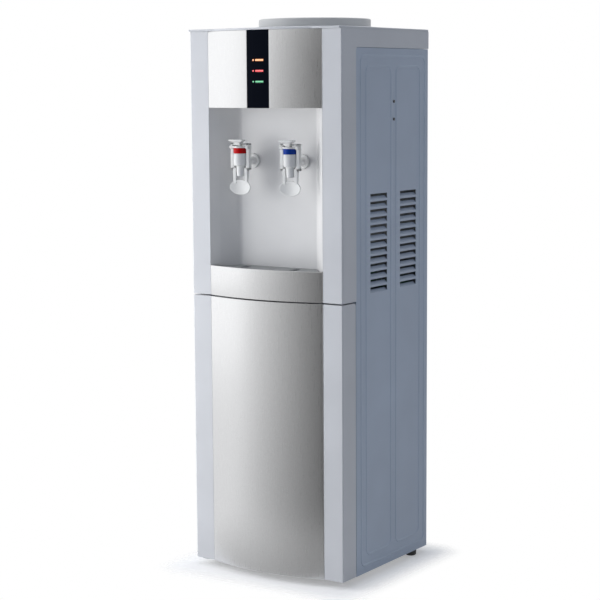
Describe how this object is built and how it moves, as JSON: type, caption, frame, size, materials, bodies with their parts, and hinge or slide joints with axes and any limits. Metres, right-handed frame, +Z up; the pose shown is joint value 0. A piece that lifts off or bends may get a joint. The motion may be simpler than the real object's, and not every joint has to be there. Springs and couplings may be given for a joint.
{
  "type": "water cooler",
  "caption": "Floor-standing bottled-water cooler: bowed front, hot and cold push taps in an alcove over a drip tray, cupboard with a hinged door below, bottle seat on top.",
  "frame": {"origin": "on the floor under the middle of the body's outline, bowed front included", "axes": "+Z up, front towards -Y, hot tap on the -X side and cold tap on the +X side"},
  "size_m": [0.31, 0.31, 0.968],
  "materials": {
    "white_moulding": "semi-gloss moulded",
    "silver_front": "satin metallic silver",
    "side_sheet": "powder-coated pale grey",
    "black_window": "high gloss",
    "lens_amber": "translucent light pipe",
    "lens_red": "translucent light pipe",
    "lens_green": "translucent light pipe",
    "alcove_grey": "fine matt",
    "tray_grey": "matt",
    "grille_grey": "matt",
    "collar_grey": "matt",
    "tap_white": "gloss",
    "tap_grey": "semi-gloss",
    "ring_red": "gloss",
    "ring_blue": "gloss",
    "silicone": "matt",
    "rubber_black": "matt",
    "zinc_sheet": "zinc plated",
    "steel": "brushed",
    "alloy": "mill finish",
    "foam": "rigid foam",
    "cupboard_white": "matt",
    "ceramic": "ceramic and alloy block",
    "board_green": "circuit board",
    "black_plastic": "matt",
    "hose_clear": "silicone hose",
    "heater_mica": "mica and steel band",
    "screw_zinc": "zinc plated"
  },
  "bodies": {
    "cabinet": {"base_plate": "zinc_sheet", "feet": "rubber_black", "left_side_panel": "side_sheet", "right_side_panel": "side_sheet", "back_panel": "zinc_sheet", "panel_screws": "screw_zinc", "equipment_deck": "zinc_sheet", "cabinet_liner": "cupboard_white", "cabinet_shelf": "cupboard_white", "front_hood": "white_moulding", "top_cover": "white_moulding", "upper_fascia": "silver_front", "display_window": "black_window", "power_lens": "lens_amber", "heat_lens": "lens_red", "cool_lens": "lens_green", "indicator_board": "board_green", "alcove_liner": "alcove_grey", "magnet_catch": "black_plastic", "upper_hinge_pin": "steel", "lower_hinge_bracket": "steel", "hot_tap_body": "tap_grey", "cold_tap_body": "tap_grey", "hot_tap_ring": "ring_red", "cold_tap_ring": "ring_blue", "tap_gaskets": "silicone", "tap_nuts": "tap_white", "cold_tank": "steel", "cold_tank_lid": "tap_white", "tank_insulation": "foam", "tank_cradle": "zinc_sheet", "thermoelectric_module": "ceramic", "heat_sink": "alloy", "fan_frame": "black_plastic", "hot_tank": "steel", "heater_and_thermostats": "heater_mica", "water_tubes": "hose_clear", "power_board": "board_green", "switch_housings": "black_plastic", "drain_outlet": "tap_white", "cord_gland": "black_plastic"},
    "door": {"door_frame": "white_moulding", "door_skin": "silver_front", "door_liner": "cupboard_white", "catch_strike": "steel", "hinge_bushes": "black_plastic"},
    "drip_tray_set": {"drip_tray": "tray_grey", "tray_fascia": "silver_front"},
    "drip_grille": {"drip_grille": "grille_grey"},
    "bottle_seat": {"bottle_guard": "collar_grey", "feed_spike": "tap_white", "guard_seal": "silicone"},
    "hot_lever": {"hot_tap_lever": "tap_white"},
    "cold_lever": {"cold_tap_lever": "tap_white"},
    "hot_plunger": {"hot_tap_plunger": "silicone"},
    "cold_plunger": {"cold_tap_plunger": "silicone"},
    "fan_rotor": {"fan_rotor": "black_plastic"},
    "heat_rocker": {"heat_rocker": "ring_red"},
    "cool_rocker": {"cool_rocker": "lens_green"},
    "drain_cap": {"drain_cap": "tap_white"}
  },
  "joints": [
    {"name": "door_hinge", "type": "hinge", "parent": "cabinet", "child": "door", "pos_m": [-0.14, -0.118, 0.25], "axis": [0, 0, -1], "range_deg": [0, 110]},
    {"name": "tray_slide", "type": "slide", "parent": "cabinet", "child": "drip_tray_set", "axis": [0, -1, 0], "range_m": [0, 0.08]},
    {"name": "grille_lift", "type": "slide", "parent": "drip_tray_set", "child": "drip_grille", "axis": [0, 0, 1], "range_m": [0, 0.08]},
    {"name": "bottle_seat_lift", "type": "slide", "parent": "cabinet", "child": "bottle_seat", "axis": [0, 0, 1], "range_m": [0, 0.13]},
    {"name": "hot_lever_pivot", "type": "hinge", "parent": "cabinet", "child": "hot_lever", "pos_m": [-0.0513, -0.137, 0.7492], "axis": [1, 0, 0], "range_deg": [0, 14], "stiffness_Nm_per_rad": 0.3, "springref_deg": -20.05},
    {"name": "cold_lever_pivot", "type": "hinge", "parent": "cabinet", "child": "cold_lever", "pos_m": [0.0513, -0.137, 0.7492], "axis": [1, 0, 0], "range_deg": [0, 14], "stiffness_Nm_per_rad": 0.3, "springref_deg": -20.05},
    {"name": "hot_plunger_lift", "type": "slide", "parent": "cabinet", "child": "hot_plunger", "axis": [0, 0, 1], "range_m": [0, 0.0014]},
    {"name": "cold_plunger_lift", "type": "slide", "parent": "cabinet", "child": "cold_plunger", "axis": [0, 0, 1], "range_m": [0, 0.0014]},
    {"name": "fan_spin", "type": "hinge", "parent": "cabinet", "child": "fan_rotor", "pos_m": [0, 0.13, 0.7662], "axis": [0, 1, 0], "continuous": true},
    {"name": "heat_rocker_tilt", "type": "hinge", "parent": "cabinet", "child": "heat_rocker", "pos_m": [0.08, 0.141, 0.86], "axis": [-1, 0, 0], "range_deg": [0, 16]},
    {"name": "cool_rocker_tilt", "type": "hinge", "parent": "cabinet", "child": "cool_rocker", "pos_m": [0.11, 0.141, 0.86], "axis": [-1, 0, 0], "range_deg": [0, 16]},
    {"name": "drain_cap_off", "type": "slide", "parent": "cabinet", "child": "drain_cap", "axis": [0, 1, 0], "range_m": [0, 0.03]}
  ],
  "couplings": [
    {"joint": "hot_plunger_lift", "follows": "hot_lever_pivot", "m_per_rad": 0.0055},
    {"joint": "cold_plunger_lift", "follows": "cold_lever_pivot", "m_per_rad": 0.0055}
  ]
}
